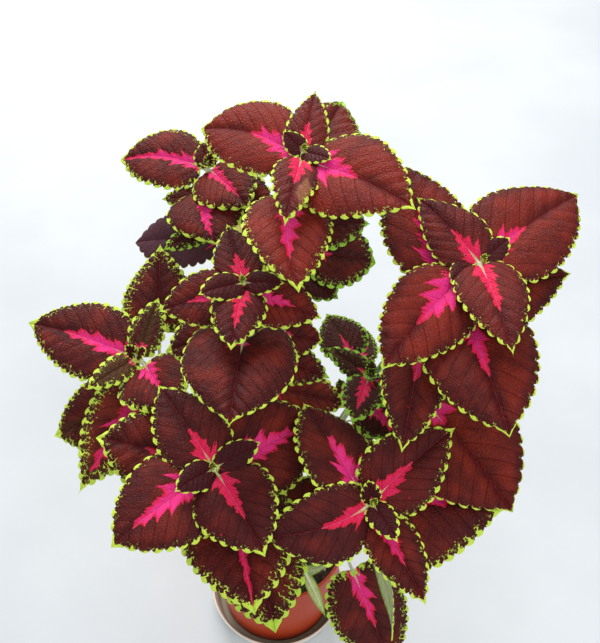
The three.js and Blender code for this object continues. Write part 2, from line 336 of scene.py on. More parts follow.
# %% [markdown]
# ## Turned pieces
# A pot and a saucer are moulded in turned tools, so each is a profile swept round the upright axis.
# The profile is one line that runs from the middle of the underside, out, up, over the lip and down
# the inside to the middle of the floor. Its corners are rounded, because the light that a rounded
# corner catches is what makes plastic look moulded.

# %% A rounded profile and a lathe
POLE = 0.05                                   # radius in mm of the ring that closes a middle


def rounded(corners, steps=5):
    """A profile through corners given as (radius, height, rounding) in mm.

    A corner is cut off at its rounding along both sides, and a parabola joins the two cuts. A cut
    takes less than half of a side, so that two of them fit on it."""
    spots = np.array([corner[:2] for corner in corners], float)
    line = [spots[:1]]
    for before, here, after, (_, _, cut) in zip(spots, spots[1:], spots[2:], corners[1:-1]):
        back, on = before - here, after - here
        start = here + back / np.hypot(*back) * min(cut, np.hypot(*back) * 0.45)
        end = here + on / np.hypot(*on) * min(cut, np.hypot(*on) * 0.45)
        t = np.linspace(0, 1, steps)[:, None]
        line.append((1 - t) ** 2 * start + 2 * t * (1 - t) * here + t ** 2 * end)
    line.append(spots[-1:])
    return np.concatenate(line)


def turned(profile, around=144):
    """Points of a profile swept round Z: (r cos a, r sin a, z) for every angle a, in mm."""
    angle = np.arange(around) * 2 * math.pi / around
    radius, height = np.maximum(profile[:, :1], POLE), profile[:, 1:]
    return np.stack([radius * np.cos(angle), radius * np.sin(angle),
                     np.broadcast_to(height, (len(profile), around))], -1)


def turned_piece(name, profile, material):
    """A closed piece turned from a profile, which stands for the CAD node of the same name."""
    points = turned(profile)
    piece = Collected()
    piece.add(points.reshape(-1, 3) * MM, closed_faces(*points.shape[:2]), 0)
    return piece.finish(f"{name}_turned", [material], name)


print("a rounded corner has", len(rounded([(0, 0, 0), (10, 0, 2), (10, 5, 0)])) - 2, "points")


# %% [markdown]
# ## Plastic
# The pot is injection-moulded polypropylene. Its colour is nearly even, with a slightly chalky
# bloom and a few dull scuffs, and its skin has a very fine grain. The saucer is a harder, glossier
# plastic. Scuffs belong in the roughness more than in the colour: they show only where the light
# glances. Painted shade darkens the saucer's floor and the foot of the pot, where the narrow gap
# between the two lies in shadow.

# %% Plastic for the pot and the saucer
WALL_LEAN = 0.26                              # how far the saucer's wall leans out as it rises
PAINTED_SHADE_EDGE = (0.0589, 0.0597)                 # the painted shade ends between these radii, told at z = 0
PAINTED_SHADE_FADE = (0.003, 0.017)                   # and fades out between these heights


def plastic(name, base, bloom, painted_shade_colour, rough, grain):
    """Moulded plastic: a colour, its chalky bloom and the colour of its painted shade, its
    roughness and its grain in mm.
    """
    paint = Paint(name)
    place = paint.place()
    cloud = paint.noise(place, 28, 3).rise(0.35, 0.7)
    scuff = paint.noise(place, 160, 4, 0.65, 0.6).rise(0.56, 0.7)
    shade = paint.mix(cloud * 0.55, base, bloom)
    fine = paint.noise(place, 2600, 2)
    x, y, z = (paint.part(place, i) for i in range(3))
    out = (x * x + y * y) ** 0.5 - z * WALL_LEAN
    # painted shade: darker on the saucer's floor and on the pot's foot, in the narrow gap where
    # shadow falls
    painted_shade = (1 - out.rise(*PAINTED_SHADE_EDGE)) * (1 - z.rise(*PAINTED_SHADE_FADE)) * (0.8 + 0.2 * cloud)
    return paint.surface(
        Base_Color=paint.mix(painted_shade, paint.mix(scuff * 0.22, shade, bloom), painted_shade_colour),
        Roughness=rough + 0.08 * cloud + 0.16 * scuff,
        Specular_IOR_Level=0.35,
        Normal=paint.bump(fine, grain * MM, 0.5))


pot_plastic = plastic("terracotta plastic", base=colour(190, 62, 24), bloom=colour(194, 74, 34),
                      painted_shade_colour=colour(92, 34, 18), rough=0.46, grain=0.03)
saucer_plastic = plastic("cream plastic", base=colour(250, 245, 230), bloom=colour(240, 232, 214),
                         painted_shade_colour=colour(150, 134, 110), rough=0.34, grain=0.015)


# %% [markdown]
# ## The pot and the saucer
# The pot tapers from 130 mm at its lip to 107 mm at its foot. Its wall is 2.6 mm and ends in a
# plain rounded lip. The saucer is a shallow dish with a thin, slightly flared wall. The pot stands
# on the saucer's floor, with 0.3 mm of air between the two.

# %% Pot and saucer
AIR = 0.3                                     # between two parts that rest on each other, in mm
SAUCER_FOOT, SAUCER_HEEL, SAUCER_RIM = 57, 61, 66.5      # radii: foot, start of the wall, rim
SAUCER_HEIGHT, SAUCER_FLOOR, SAUCER_WALL = 22, 3, 2.2
FOOT = SAUCER_FLOOR + AIR                     # height of the pot's foot
TOP = FOOT + 115                              # height of its lip
FOOT_RADIUS, TOP_RADIUS, WALL = 53.5, 65.0, 2.6
POT_FLOOR = FOOT + 5                          # height of the pot's floor inside
RECESS, RING = 2, 5                           # the underside's hollow and the ring that it leaves


def pot_radius(height):
    """The pot's outer radius at a height: a straight taper."""
    return FOOT_RADIUS + (TOP_RADIUS - FOOT_RADIUS) * (height - FOOT) / (TOP - FOOT)


pot = turned_piece("pot", rounded([
    (0, FOOT + RECESS, 0), (FOOT_RADIUS - RING - 1, FOOT + RECESS, 0.8),
    (FOOT_RADIUS - RING, FOOT, 0.8), (FOOT_RADIUS, FOOT, 1.6),
    (TOP_RADIUS, TOP, 1.25), (TOP_RADIUS - WALL, TOP, 1.25),
    (pot_radius(POT_FLOOR) - WALL, POT_FLOOR, 2.5), (0, POT_FLOOR, 0)]), pot_plastic)
saucer = turned_piece("saucer", rounded([
    (0, 0, 0), (SAUCER_FOOT, 0, 1.5), (SAUCER_HEEL, 2, 1.5),
    (SAUCER_RIM, SAUCER_HEIGHT, 1.0), (SAUCER_RIM - SAUCER_WALL, SAUCER_HEIGHT, 1.0),
    (SAUCER_HEEL - 1, SAUCER_FLOOR + 1.5, 1.2), (SAUCER_HEEL - 2.5, SAUCER_FLOOR, 1.2),
    (0, SAUCER_FLOOR, 0)]), saucer_plastic)


# %% [markdown]
# ## Potting soil
# Potting soil is peat and bark: dark, dull crumbs of all sizes, with a few white grains of perlite.
# A turned body fills the pot, and waves of many directions added together roughen its top. Loose
# crumbs lie on it: each is a small ball squeezed and dented at random, with only 28 faces.

# %% What soil is made of
def earth():
    """Peat and bark: dark crumbs, damp in places, with rare pale fibres."""
    paint = Paint("potting soil")
    place = paint.place()
    clump = paint.noise(place, 240, 4, 0.6)
    fibre = paint.noise(place, 900, 3, 0.6, 1.5).rise(0.62, 0.72)
    damp = paint.noise(place, 60, 2).rise(0.4, 0.65)
    dark = paint.mix(clump.rise(0.3, 0.7), colour(30, 22, 17), colour(74, 54, 39))
    return paint.surface(Base_Color=paint.mix(fibre * 0.5, dark, colour(120, 92, 62)),
                         Roughness=0.95 - 0.25 * damp,
                         Normal=paint.bump(clump + 0.4 * fibre, 0.9 * MM, 0.9))


def perlite():
    """Perlite: white, porous volcanic grains, dusty with peat."""
    paint = Paint("perlite")
    dust = paint.noise(paint.place(), 700, 3).rise(0.4, 0.7)
    white = paint.mix(dust * 0.6, colour(225, 221, 210), colour(140, 124, 102))
    return paint.surface(Base_Color=white, Roughness=0.9 + 0.05 * dust,
                         Normal=paint.bump(dust, 0.3 * MM, 0.7))


soil_paint = [earth(), perlite()]


# %% The body of the soil
SOIL_TOP = 108.0                              # height of the soil round the stems, in mm
SOIL_SAG = 2                                  # how much lower the soil lies at the pot's wall
SOIL_AIR = 0.4                                # between the soil and the wall
grains = np.random.default_rng(11)


def rough_ground(x, y):
    """A sum of 40 sine waves, 3 to 22 mm long and in all directions, longer ones higher."""
    length = np.geomspace(3, 22, 40)
    turn, shift = grains.uniform(0, 2 * math.pi, (2, len(length)))
    wave = np.sin(2 * math.pi / length * (np.cos(turn) * x[..., None] + np.sin(turn) * y[..., None])
                  + shift)
    return (wave * length).sum(-1) * 0.0075


def soil_body(inside):
    """The turned body of the soil, with its rough top, which calms down 3 mm before the wall."""
    bottom, low = POT_FLOOR + AIR, SOIL_TOP - 4
    rings = np.linspace(inside, 0, 46)
    top = np.stack([rings, SOIL_TOP + 0.4 - SOIL_SAG * (rings / inside) ** 4], -1)
    side = [[0, bottom], [pot_radius(bottom) - WALL - SOIL_AIR, bottom], [inside, low]]
    points = turned(np.concatenate([side, top]))
    surface = points[len(side):]
    x, y = surface[..., 0], surface[..., 1]
    calm = np.clip((inside - np.hypot(x, y)) / 3, 0, 1)
    surface[..., 2] += rough_ground(x, y) * calm
    return points


# %% Crumbs, and the soil as one piece
CRUMBS, PERLITE = 620, 34                     # loose crumbs on top, and how many of them are white
CRUMB_RINGS, CRUMB_SIDES = 5, 6


def loose_crumbs(inside):
    """Balls on the soil, each squeezed along a direction of its own and dented: one block each."""
    far = np.sqrt(grains.uniform(0, 1, CRUMBS)) * (inside - 3)
    angle = grains.uniform(0, 2 * math.pi, CRUMBS)
    size = grains.uniform(0.6, 1.7, CRUMBS) ** 1.5
    middle = np.stack([far * np.cos(angle), far * np.sin(angle),
                       SOIL_TOP + 0.3 - SOIL_SAG * (far / inside) ** 4 + 0.3 * size], -1)
    up = np.linspace(0.12, math.pi - 0.12, CRUMB_RINGS)[:, None]
    turn = (np.arange(CRUMB_SIDES) * 2 * math.pi / CRUMB_SIDES)[None, :]
    ball = np.stack([np.sin(up) * np.cos(turn), np.sin(up) * np.sin(turn),
                     np.broadcast_to(np.cos(up), (CRUMB_RINGS, CRUMB_SIDES))], -1)
    squeeze = grains.uniform(0.55, 1.25, (CRUMBS, 1, 1, 3))
    dent = grains.uniform(0.78, 1.15, (CRUMBS, CRUMB_RINGS, CRUMB_SIDES, 1))
    return middle[:, None, None] + ball * squeeze * dent * size[:, None, None, None]


def soil_piece():
    """The body of the soil and the crumbs that lie on it."""
    inside = pot_radius(SOIL_TOP - 2) - WALL - SOIL_AIR
    soil = Collected()
    body = soil_body(inside)
    soil.add(body.reshape(-1, 3) * MM, closed_faces(*body.shape[:2]), 0)
    crumbs = loose_crumbs(inside)
    white = np.arange(CRUMBS) < PERLITE
    faces = np.concatenate([sheet_faces(CRUMB_RINGS, CRUMB_SIDES, around=True, flip=True),
                            closed_middles(CRUMB_RINGS, CRUMB_SIDES)[:, ::-1]])
    for chosen, material in ((~white, 0), (white, 1)):
        first = np.arange(chosen.sum()) * CRUMB_RINGS * CRUMB_SIDES
        soil.add(crumbs[chosen].reshape(-1, 3) * MM,
                 (first[:, None, None] + faces).reshape(-1, 4), material)
    return soil.finish("soil_crumbs", soil_paint, "soil")


soil = soil_piece()


# %% [markdown]
# ## The plan of the plant
# Coleus leaves stand in pairs, and each pair is turned about a right angle from the one below it.
# So a stem is told by the place of its foot, the place of its tip, and its nodes. A node says how
# far below the tip it is, and holds the leaves that leave the stem there. Every length is in
# millimetres and every angle in degrees. The CAD model grows from the same list.

# %% The list of stems and leaves
# A leaf: [direction seen from above, reach, slope, droop, width, stalk, roll, bow]
STEMS = [
  ["crown", [4, 10], [25, 108, 480], [
    [1, [141, 21, 28, 10], [-41, 27, 15, 15, 0.33]],
    [4, [-100, 71, -3, 30, 0.25], [80, 60, 17, 25, 0.27]],
    [8, [156, 82, 3, 30, 0.43, 0.1, 5, -0.09], [-38, 97, 4, 30, 0.4]],
    [30, [-90, 98, -2, 40, 0.35, 0.12, -7, -0.08], [68, 94, 12, 35, 0.38]],
    [60, [-5, 56, 12, 25]],
    [78, [-6, 62, -3, 30, 0.5]],
    [92, [-34, 42, -8, 28]],
    [190, [75, 56, -12, 28]]]],
  ["left_top", [-8, 14], [-52, 163, 425], [
    [1, [34, 12, 61, 5], [-112, 12, 36, 5]],
    [4, [-53, 58, -2, 25, 0.48], [104, 25, 26, 20]],
    [6, [169, 74, 0, 25, 0.42, 0.1, 6, -0.09]],
    [16, [-23, 58, -8, 25]],
    [20, [-83, 60, -6, 35, 0.58, 0.15, 0, -0.12], [-61, 54, -10, 20, 0.14, 0.25, 0, 0.03]],
    [30, [-171, 42, 10, 25, 0.3], [95, 56, -15, 30]],
    [44, [-57, 42, 0, 25]],
    [50, [-150, 50, -4, 25, 0.25]],
    [66, [167, 79, -10, 30, 0.33, 0.08]],
    [170, [175, 56, -10, 28]]]],
  ["middle", [-4, 4], [-17, 30, 425], [
    [1, [-145, 38, 16, 20, 0.3], [-18, 32, 18, 15, 0.3]],
    [4, [105, 59, 9, 25, 0.33], [-97, 57, -2, 30, 0.35]],
    [11, [-167, 62, -2, 30, 0.38], [-17, 57, -7, 30, 0.38]],
    [34, [-95, 101, 5, 40, 0.42], [85, 56, -10, 30]],
    [48, [0, 54, -8, 28], [-169, 64, -5, 30, 0.45]],
    [70, [-22, 61, 2, 30, 0.32]],
    [104, [-18, 72, 4, 30, 0.34]],
    [160, [155, 52, -10, 28]]]],
  ["right", [20, 6], [150, 36, 440], [
    [3, [126, 70, 11, 25, 0.32], [-82, 82, -2, 30, 0.3]],
    [8, [36, 34, 5, 10], [-137, 27, 10, 15]],
    [13, [-131, 101, -8, 35, 0.32], [37, 109, 9, 30, 0.38, 0.1, -8]],
    [34, [-76, 118, -8, 35, 0.38], [111, 113, 22, 30, 0.32]],
    [60, [9, 108, 15, 30, 0.37], [-103, 110, -10, 35, 0.25]],
    [116, [-54, 145, -8, 35, 0.46, 0.35]],
    [190, [15, 56, -12, 28], [-75, 72, -15, 28]]]],
  ["left", [-20, 2], [-104, 30, 345], [
    [1, [165, 13, 50, 10], [-15, 14, 46, 10]],
    [4, [74, 51, 24, 20, 0.29], [-138, 47, 2, 25, 0.25]],
    [8, [162, 97, 7, 30, 0.36, 0.1, 6], [-60, 58, 2, 30, 0.56]],
    [30, [92, 112, 30, 25, 0.4, 0.35], [-126, 106, -21, 35, 0.34]],
    [50, [-168, 103, -14, 30, 0.38, 0.3]],
    [125, [110, 56, -12, 28], [-100, 56, -12, 28]]]],
  ["front_left", [-10, -14], [-38, -70, 340], [
    [1, [25, 38, 18, 15, 0.31, 0.06, -12], [-138, 34, 12, 30, 0.34]],
    [4, [126, 78, 13, 25, 0.36, 0.06, 10], [-61, 76, 0, 30]],
    [12, [30, 88, 0, 30, 0.45], [-140, 90, -2, 35, 0.43, 0.1, 8]],
    [34, [-77, 105, -5, 35, 0.44]],
    [50, [171, 106, 18, 30, 0.4]],
    [76, [-75, 114, -10, 35, 0.4]],
    [130, [-160, 56, -15, 28]]]],
  ["front_right", [12, -16], [73, -95, 335], [
    [1, [107, 18, 17, 10], [-68, 38, 15, 20, 0.26]],
    [4, [-162, 80, 0, 25, 0.34, 0.06, 0, 0.12], [37, 80, 19, 30, 0.36]],
    [11, [120, 88, 11, 30, 0.41, 0.1, 35], [-61, 79, -11, 30, 0.27, 0.12, -8]],
    [34, [-5, 110, 4, 30, 0.5], [-170, 70, -20, 30]],
    [62, [-68, 105, -15, 25, 0.24, 0.3, -98, 0.1]],
    [90, [-58, 148, -45, 20, 0.34, 0.38]],
    [125, [0, 56, -12, 28]]]],
  ["inner", [24, -6], [77, 12, 345], [
    [1, [88, 11, 39, 5], [-98, 12, 36, 5]],
    [4, [144, 40, 10, 20, 0.27], [-108, 48, 5, 25, 0.34]],
    [10, [-40, 35, 5, 25, 0.42], [116, 68, 10, 25, 0.43, 0.35]],
    [26, [-50, 52, -5, 30], [84, 72, 0, 28, 0.32, 0.4]],
    [45, [105, 28, 25, 25, 0.3]]]],
  ["low_front", [1, -28], [7, -44, 235], [
    [1, [2, 11, 37, 5], [179, 11, 36, 5]],
    [4, [100, 37, 4, 20], [-80, 39, -1, 20]],
    [11, [-146, 46, -1, 25], [-52, 45, -6, 25]],
    [20, [-66, 91, 0, 20, 0.12, 0.6, 180]],
    [32, [-92, 70, -8, 25, 0.32]],
    [90, [-16, 50, 0, 30, 0.18, 0.45, 180, -0.3]]]],
  ["back", [6, 22], [23, 190, 335], [
    [1, [96, 15, 51, 5], [-86, 16, 47, 5]],
    [5, [4, 40, 7, 20], [175, 44, 7, 20]],
    [14, [80, 68, 7, 30], [-100, 66, 1, 25]],
    [36, [140, 80, -5, 30], [40, 80, -5, 30]]]],
  ["back_low", [-15, 24], [-35, 140, 265], [
    [1, [46, 13, 50, 5], [-126, 14, 47, 5]],
    [5, [144, 42, 7, 20], [-43, 45, 1, 20]],
    [14, [56, 57, 1, 30], [-116, 55, -5, 30]],
    [40, [120, 80, -5, 30], [0, 70, -5, 30]]]],
]
DEFAULT_WIDTH = 0.41
LEAVES = sum(len(node) - 1 for _, _, _, nodes in STEMS for node in nodes)
print(len(STEMS), "stems and", LEAVES, "leaves")


# %% [markdown]
# ## The line of a stem
# A stem starts upright in the soil and leans out to its tip. A quadratic curve does that: its
# middle point stands straight above the foot. The curve is measured along its length, because nodes
# are told by their distance from the tip.

# %% Stem lines
ROOT = 38.0                                   # how deep a stem goes into the soil, in mm


def stem_line(foot, tip, step=2.4):
    """Points from the root to the tip, about step mm apart, and each one's distance from the tip.

    The curve is (1 - t)^2 foot + 2 t (1 - t) above + t^2 tip. The point above the foot is half as
    high over the soil as the tip."""
    t = np.linspace(0, 1, 801)[:, None]
    low, tip = np.array([*foot, SOIL_TOP]), np.array(tip, float)
    above = np.array([*foot, SOIL_TOP + 0.5 * (tip[2] - SOIL_TOP)])
    curve = (1 - t) ** 2 * low + 2 * t * (1 - t) * above + t ** 2 * tip
    curve = np.concatenate([[[*foot, SOIL_TOP - ROOT]], curve])
    along = np.concatenate([[0], np.cumsum(np.linalg.norm(np.diff(curve, axis=0), axis=1))])
    spots = np.linspace(0, along[-1], max(8, round(along[-1] / step)))
    line = np.stack([np.interp(spots, along, curve[:, i]) for i in range(3)], -1)
    return line, along[-1] - spots


def point_below(line, below, distance):
    """The point of a stem at a distance below its tip."""
    return np.array([np.interp(-distance, -below, line[:, i]) for i in range(3)])


print("stem lengths in mm:", [round(stem_line(foot, tip)[1][0]) for _, foot, tip, _ in STEMS])


# %% [markdown]
# ## The line of a leaf
# A leaf is a stalk and a blade on one line that bends evenly under its own weight, so the line is
# an arc of a circle. Everything on the leaf is first laid out flat, x along the leaf and y across
# it, and then bent: x gives the place on the arc, y goes out sideways, and the height stands on the
# face. The plant has grown towards a window in front of it, so leaves that point sideways face it a
# little.

# %% Bending a flat leaf
TO_WINDOW = 25                                # how far a sideways leaf turns its face, in degrees


class Bend:
    """The bent line of one leaf, from its direction, reach, slope, droop, roll and bow."""

    def __init__(self, foot, heading, reach, slope, droop, roll=0, bow=0):
        heading, self.droop = math.radians(heading), math.radians(droop)
        self.foot, self.first, self.bow = foot, math.radians(slope) + self.droop / 2, bow
        self.length = reach * (self.droop / 2) / math.sin(self.droop / 2)
        self.turn = math.radians(roll + TO_WINDOW * math.cos(heading))
        self.ahead = np.array([math.cos(heading), math.sin(heading), 0])
        self.across = np.array([-math.sin(heading), math.cos(heading), 0])
        self.up = np.array([0, 0, 1.0])

    def point(self, x, y, height):
        """x mm along the line, y mm to the left and height mm above the face.

        After a share q of the line its pitch is first - droop q, so it has come
        (sin first - sin pitch) / droop ahead and (cos pitch - cos first) / droop up. A bow carries
        the line sideways by 4 q (1 - q) bow, as a share of its length."""
        q = x / self.length
        pitch = self.first - self.droop * q
        ahead = (math.sin(self.first) - np.sin(pitch)) / self.droop * self.length
        up = (np.cos(pitch) - math.cos(self.first)) / self.droop * self.length
        normal = (-np.sin(pitch))[..., None] * self.ahead + np.cos(pitch)[..., None] * self.up
        side = self.across * math.cos(self.turn) + normal * math.sin(self.turn)
        face = normal * math.cos(self.turn) - self.across * math.sin(self.turn)
        bow = self.bow * self.length * 4 * q * (1 - q)
        return (self.foot + ahead[..., None] * self.ahead + up[..., None] * self.up
                + bow[..., None] * self.across + y[..., None] * side + height[..., None] * face)


print("a leaf that reaches 80 mm and droops 30 degrees is",
      round(Bend(np.zeros(3), 0, 80, 0, 30).length, 1), "mm long")


# %% [markdown]
# ## The outline of a blade
# A coleus blade is broad near its base and runs out to a point, and its margin is a row of rounded
# scallops. The plain outline is a product of two powers. Scallops are spaced evenly along the
# margin and pushed out at right angles to it, so they stay round where the margin turns.

# %% Margins
TOOTH_ROWS = 6                                # rows of points from one notch to the next
TOOTHED = (0.1, 0.92)                         # the part of the margin that has teeth
TOOTH_DEPTH = 0.036                           # of the blade's length, for a margin of ten teeth


def half_width(u, end):
    """Half the width at a share u of the blade, 1 at its widest: u^0.5 (1 - u)^end, rescaled.

    The last tenth narrows by up to a further half, into the drawn-out point."""
    start = 0.5
    widest = start / (start + end)
    plain = u ** start * (1 - u) ** end / (widest ** start * (1 - widest) ** end)
    return plain * (1 - 0.45 * np.exp(-((1 - u) / 0.11) ** 2))


def plain_margin(u, length, half, looks):
    """The margin without its teeth. The blade's two round lobes reach back past its base."""
    wide = half_width(u, looks["end"])
    return length * (u - looks["lobes"] * wide * np.exp(-u / 0.13)), half * wide


def margin(length, half, teeth, looks):
    """Rows of points along one margin: place along and across, and the count of teeth up to there.

    A tooth pushes the margin out by |sin(pi t)|^0.6, a round lobe between two sharp notches. The
    teeth fade out towards the base and the point."""
    u = np.linspace(0, 1, 1500) ** 2
    x, y = plain_margin(u, length, half, looks)
    far = np.concatenate([[0], np.cumsum(np.hypot(np.diff(x), np.diff(y)))])
    low, high = TOOTHED
    share = np.concatenate([np.linspace(0, low, 5)[:-1],
                            np.linspace(low, high, teeth * TOOTH_ROWS + 1),
                            np.linspace(high, 1, 7)[1:]])
    u_row = np.interp(share * far[-1], far, u)
    u_row[0], u_row[-1] = 0.0, 1.0
    x, y = plain_margin(u_row, length, half, looks)
    out = np.stack([-np.gradient(y), np.gradient(x)])
    out /= np.hypot(*out)
    tooth = teeth * (share - low) / (high - low)
    part = np.round(tooth % 1, 6) % 1
    lobe = np.sin(math.pi * part ** 1.2) ** 0.6 - 0.5
    calm = np.clip((share - 0.06) / 0.08, 0, 1) * np.clip((0.955 - share) / 0.06, 0, 1)
    push = lobe * calm * TOOTH_DEPTH * length * (10 / teeth) ** 0.6 * looks["scallop"]
    return x + out[0] * push, y + out[1] * push, tooth, u_row


def nearest(points, line):
    """The distance from each point to the nearest point of a line, and which one it is."""
    apart = np.hypot(points[:, None, 0] - line[None, :, 0], points[:, None, 1] - line[None, :, 1])
    found = apart.argmin(1)
    return apart[np.arange(len(points)), found], found


trial = margin(80, 32, 10, {"end": 0.95, "lobes": 0.16, "scallop": 1.0})
print("a margin of ten teeth has", len(trial[0]), "rows of points")


# %% [markdown]
# ## A blade
# Two sheets make a blade, the face and the underside, with a thin rim that closes them. Seven pairs
# of side veins leave the midrib at about 50 degrees and curve to the tip. Between them the face is
# puffed up like a quilt, and the margin waves a little. The veins are lines on which the vein
# coordinate, x - 0.75 y - 0.9 y^2 in shares of the length, is a whole number of sevenths. The same
# coordinate guides the colours later.

# %% The height of the face
VEINS = 7                                     # pairs of side veins
VEIN_SHIFT = 0.3                              # how far the veins of one half run ahead, in veins
THIN = 0.12                                   # least half width in mm, so that no face is a line


def vein_coordinate(x, y):
    """Which side vein a place lies on, from 0 at the base to 1 at the tip."""
    off = abs(y)
    return x - 0.75 * off - 0.9 * off * off


def relief(x, y, share, u, length, half, looks, chance):
    """The height in mm of a blade's face over its bent sheet.

    It rises from the midrib and falls again to the margin, puffs up by |sin(pi vein)|^1.3 between
    the side veins, waves along the margin by share^2, and has a furrow over the midrib."""
    along, across = x / length, y / length
    vein = vein_coordinate(along, across) * VEINS + VEIN_SHIFT * (y > 0)
    room = np.clip(np.abs(across) / 0.05, 0, 1) * (1 - np.abs(share) ** 6)
    puff = np.abs(np.sin(math.pi * vein)) ** 1.3 * room * looks["quilt"]
    wave = np.sin(2 * math.pi * (1.4 * along + chance.uniform())) * share * np.abs(share)
    furrow = np.exp(-(across / 0.012) ** 2)
    full = half * half_width(np.clip(u, 0.001, 0.999), looks["end"])[:, None]
    v = np.abs(y) / np.maximum(full, THIN)
    v = np.sqrt(np.minimum(v, 1.1) ** 2 + 0.0016) - 0.04
    fold = full * (0.33 * v - 0.38 * v ** 2)
    return fold + length * (0.016 * puff + 0.012 * wave - 0.006 * furrow)


print("a place halfway along and a fifth of the length out lies on vein",
      round(vein_coordinate(0.5, 0.2) * VEINS, 2), "of", VEINS)


# %% Blades
# How far out each column of points lies, on leaves that reach over so many millimetres.
COLUMNS = {
    48: (0.03, 0.08, 0.17, 0.29, 0.42, 0.55, 0.67, 0.78, 0.87, 0.93, 0.97, 1),
    20: (0.05, 0.15, 0.3, 0.48, 0.66, 0.82, 0.93, 1),
    0: (0.1, 0.3, 0.55, 0.78, 0.92, 1),
}
FACE, UNDERSIDE, STALK = 0, 1, 2              # the slots of a leafy stem's three materials


def blade(bend, leaf, looks, chance):
    """The blade of one leaf: face, underside and rim, with the facts that colour it."""
    reach, stalk = leaf["reach"], leaf["stalk"]
    start, length = stalk * bend.length, (1 - stalk) * bend.length
    half = leaf["width"] * length
    teeth = int(np.clip(round(reach / 8), 5, 13))
    x_edge, y_edge, tooth, u = margin(length, half, teeth, looks)
    y_edge = np.maximum(y_edge, THIN)
    columns = next(columns for least, columns in COLUMNS.items() if reach > least)
    share = np.array([-out for out in columns[::-1]] + [0] + list(columns))
    middle = u[:, None] * length
    x = middle + (x_edge[:, None] - middle) * share ** 2
    y = y_edge[:, None] * share
    lift = relief(x, y, share, u, length, half, looks, chance)
    thick = (0.16 + 0.24 * (1 - np.abs(share) ** 3)) * min(1, reach / 40 + 0.3)
    face = bend.point(start + x, y, lift + thick / 2)
    under = bend.point(start + x, y, lift - thick / 2)

    edge_line = np.stack([np.tile(x_edge, 2), np.concatenate([y_edge, -y_edge])], -1)
    edge, which = nearest(np.stack([x, y], -1).reshape(-1, 2), edge_line)
    facts = {fact: looks[fact] for fact in FACT_PLACES if fact in looks}
    facts.update({"along": x / length, "across": y / length, "edge": edge.reshape(x.shape),
                  "tooth": np.tile(tooth, 2)[which].reshape(x.shape), "length": length,
                  "lime": looks["lime"] * (0.5 + 0.0135 * length),
                  "tip": np.clip((u - 0.87) / 0.07, 0, 1)[:, None]})
    facts = {name: np.tile(np.broadcast_to(fact, x.shape).ravel(), 2)
             for name, fact in facts.items()}

    index = np.arange(x.size).reshape(x.shape)
    rim = np.concatenate([index[0], index[1:, -1], index[-1, -2::-1], index[-2:0:-1, 0]])
    after = np.roll(rim, -1)
    sides = [sheet_faces(*x.shape, flip=True), sheet_faces(*x.shape) + x.size,
             np.stack([rim, rim + x.size, after + x.size, after], -1)]
    points = np.concatenate([face.reshape(-1, 3), under.reshape(-1, 3)]) * MM
    materials = np.repeat([FACE, UNDERSIDE, FACE], [len(side) for side in sides])
    return points, np.concatenate(sides), materials, facts


print("columns by reach:", {least: 2 * len(columns) + 1 for least, columns in COLUMNS.items()})


# %% [markdown]
# ## Stalks, midribs and stems
# A stalk is round and runs on under the blade as its midrib, thinner and thinner to the tip. A stem
# is square with rounded corners, as in all plants of the mint family, and swells at each node. Both
# are tubes: a closed profile carried along a line, square to it at every step.

# %% Tubes
STALK_SIDES, STEM_SIDES = 8, 12


def tube(line, radius, sides, square=0.0):
    """A profile of the given radius, in mm, swept along a line of points, and each point's angle.

    The profile is r (1 + square cos 4a), and its two axes are square to the line's direction."""
    ahead = np.gradient(line, axis=0)
    ahead /= np.linalg.norm(ahead, axis=1)[:, None]
    other = np.array([0.31, -0.17, 0.94]) if abs(ahead[0, 2]) < 0.8 else np.array([1.0, 0, 0])
    first = other - (ahead @ other)[:, None] * ahead
    first /= np.linalg.norm(first, axis=1)[:, None]
    second = np.cross(ahead, first)
    angle = np.arange(sides) * 2 * math.pi / sides
    reach = radius[:, None] * (1 + square * np.cos(4 * angle))[None, :]
    points = (line[:, None] + (reach * np.cos(angle))[..., None] * first[:, None]
              + (reach * np.sin(angle))[..., None] * second[:, None])
    return points.reshape(-1, 3) * MM, closed_faces(len(line), sides), np.tile(angle, len(line))


def stalk_tube(bend, leaf):
    """The stalk and the midrib under the blade, which hangs below the face by its own radius."""
    start = leaf["stalk"] * bend.length
    x = np.concatenate([np.linspace(0.4, start, 5), np.linspace(start, bend.length * 0.9, 13)[1:]])
    thick = min(1.25, 0.45 + 0.009 * leaf["reach"])
    blade_share = np.clip((x - start) / (bend.length - start), 0, 1)
    radius = thick * (1 - 0.85 * blade_share ** 0.7) * (1 + 0.35 * np.exp(-(x / 2.2) ** 2))
    below = -(0.92 * radius + 0.006 * (bend.length - start)) * np.clip((x - start + 2) / 3, 0, 1)
    points, faces, _ = tube(bend.point(x, np.zeros_like(x), below), radius, STALK_SIDES)
    return points, faces, np.repeat(x, STALK_SIDES)


def stem_tube(line, below, nodes):
    """The square stem. Its radius is 3.2 mm at the foot and 1.4 mm at the tip.

    Each node swells it by a fifth, and the very tip is drawn in."""
    share = np.clip(below / below.max(), 0, 1)
    radius = 1.35 + 1.9 * share ** 0.8
    for distance, *_ in nodes:
        radius = radius * (1 + 0.2 * np.exp(-((below - distance) / 3.2) ** 2))
    radius[-1] *= 0.4
    return tube(line, radius, STEM_SIDES, square=-0.09)


print("a stalk has", STALK_SIDES, "sides and a stem has", STEM_SIDES)


# %% [markdown]
# ## The colours of a leaf
# The face is maroon. A jagged pink splash runs out from the base along the midrib, hot pink inside
# and crimson at its border, and its teeth point along the side veins. Lime green covers the edge of
# each scallop and the whole tip, and breaks up into specks inwards. A young leaf is nearly black,
# and its splash is crimson throughout. All of it is worked out from the facts of each point, so no
# pattern has to be drawn, and no two leaves are alike.

